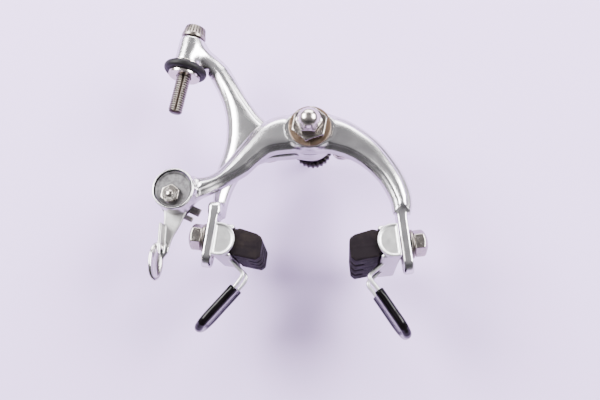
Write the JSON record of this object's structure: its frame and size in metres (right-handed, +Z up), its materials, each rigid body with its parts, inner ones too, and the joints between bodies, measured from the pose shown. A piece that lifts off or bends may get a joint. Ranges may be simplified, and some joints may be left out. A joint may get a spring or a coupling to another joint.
{
  "type": "rim brake caliper",
  "caption": "Side-pull rim brake caliper for a road bicycle: pivoting arms on a centre bolt, cable adjuster, quick-release drum, shoes with pads and wheel guides.",
  "frame": {"origin": "on the centre bolt's axis, at the rear face of the serrated washer, where the caliper bears on the fork crown", "axes": "+Y along the centre bolt, back into the fork crown, so -Y is the front of the brake; +Z up, with the shoes below the bolt; +X to the right seen from the front"},
  "size_m": [0.1179, 0.0601, 0.1429],
  "materials": {
    "polished_aluminium": "polished and anodised",
    "satin_aluminium": "satin",
    "bright_chrome": "bright chrome plate",
    "bolt_steel": "zinc-plated steel",
    "dark_steel": "blackened steel",
    "bronze": "dull bronze",
    "grey_disc": "matt, lightly textured",
    "nylon": "natural nylon",
    "black_rubber": "moulded rubber",
    "pad_rubber": "moulded brake rubber, slightly dusty",
    "black_plastic": "glossy moulded plastic"
  },
  "bodies": {
    "centre_bolt": {"centre_bolt": "bolt_steel", "serrated_washer": "dark_steel", "spring_block": "dark_steel", "return_spring": "bright_chrome", "rear_thrust_washer": "bolt_steel", "middle_thrust_washer": "bolt_steel", "bronze_washer": "bronze", "adjusting_nut": "bright_chrome", "acorn_nut": "bright_chrome"},
    "front_arm": {"front_arm": "polished_aluminium", "front_spring_peg": "nylon"},
    "rear_arm": {"rear_arm": "polished_aluminium", "rear_spring_peg": "nylon"},
    "adjuster_barrel": {"adjuster_barrel": "bolt_steel"},
    "adjuster_nut": {"adjuster_nut": "bolt_steel", "adjuster_grip_ring": "black_rubber"},
    "quick_release": {"cam_disc": "grey_disc", "quick_release_lever": "satin_aluminium"},
    "cable_clamp": {"cable_clamp_bolt": "bright_chrome", "cable_clamp_washer": "dark_steel", "cable_clamp_plate": "dark_steel", "cable_clamp_nut": "bolt_steel"},
    "left_shoe_mount": {"left_shoe_nut": "bright_chrome", "left_shoe_outer_washer": "bolt_steel"},
    "left_shoe": {"left_shoe_inner_washer": "bolt_steel", "left_shoe_holder": "bright_chrome", "left_brake_pad": "pad_rubber", "left_guide_wire": "bright_chrome", "left_guide_sleeve": "black_plastic"},
    "right_shoe_mount": {"right_shoe_nut": "bright_chrome", "right_shoe_outer_washer": "bolt_steel"},
    "right_shoe": {"right_shoe_inner_washer": "bolt_steel", "right_shoe_holder": "bright_chrome", "right_brake_pad": "pad_rubber", "right_guide_wire": "bright_chrome", "right_guide_sleeve": "black_plastic"}
  },
  "joints": [
    {"name": "rear_arm_pivot", "type": "hinge", "parent": "centre_bolt", "child": "rear_arm", "pos_m": [0, -0.0169, 0], "axis": [0, -1, 0], "range_deg": [0, 9], "stiffness_Nm_per_rad": 1.5, "springref_deg": -28.65, "deforming": ["return_spring"]},
    {"name": "front_arm_pivot", "type": "hinge", "parent": "centre_bolt", "child": "front_arm", "pos_m": [0, -0.0263, 0], "axis": [0, 1, 0], "range_deg": [0, 9]},
    {"name": "adjuster_turn", "type": "hinge", "parent": "rear_arm", "child": "adjuster_nut", "pos_m": [-0.057, -0.0226, 0.0406], "axis": [0.1633, 0, 0.9866], "range_deg": [0, 2881]},
    {"name": "barrel_travel", "type": "slide", "parent": "rear_arm", "child": "adjuster_barrel", "axis": [0.1633, 0, 0.9866], "range_m": [0, 0.008]},
    {"name": "quick_release", "type": "hinge", "parent": "front_arm", "child": "quick_release", "pos_m": [-0.0576, -0.0276, -0.0282], "axis": [0, 1, 0], "range_deg": [0, 95]},
    {"name": "cable_clamp_swivel", "type": "hinge", "parent": "quick_release", "child": "cable_clamp", "pos_m": [-0.0584, -0.0276, -0.0307], "axis": [0, 1, 0], "range_deg": [-95, 0]},
    {"name": "left_shoe_height", "type": "slide", "parent": "rear_arm", "child": "left_shoe_mount", "axis": [0.1132, 0, 0.9936], "range_m": [-0.005, 0.003]},
    {"name": "left_shoe_tilt", "type": "hinge", "parent": "left_shoe_mount", "child": "left_shoe", "pos_m": [-0.042, -0.0226, -0.0478], "axis": [0.9905, 0.0785, -0.1129], "range_deg": [-8, 8]},
    {"name": "right_shoe_height", "type": "slide", "parent": "front_arm", "child": "right_shoe_mount", "axis": [-0.1132, 0, 0.9936], "range_m": [-0.005, 0.003]},
    {"name": "right_shoe_tilt", "type": "hinge", "parent": "right_shoe_mount", "child": "right_shoe", "pos_m": [0.04, -0.0226, -0.05], "axis": [0.9936, 0, 0.1132], "range_deg": [-8, 8]}
  ],
  "couplings": [
    {"joint": "front_arm_pivot", "follows": "rear_arm_pivot", "ratio": 1},
    {"joint": "adjuster_turn", "follows": "barrel_travel", "rad_per_m": 6283.2},
    {"joint": "cable_clamp_swivel", "follows": "quick_release", "ratio": -1}
  ]
}
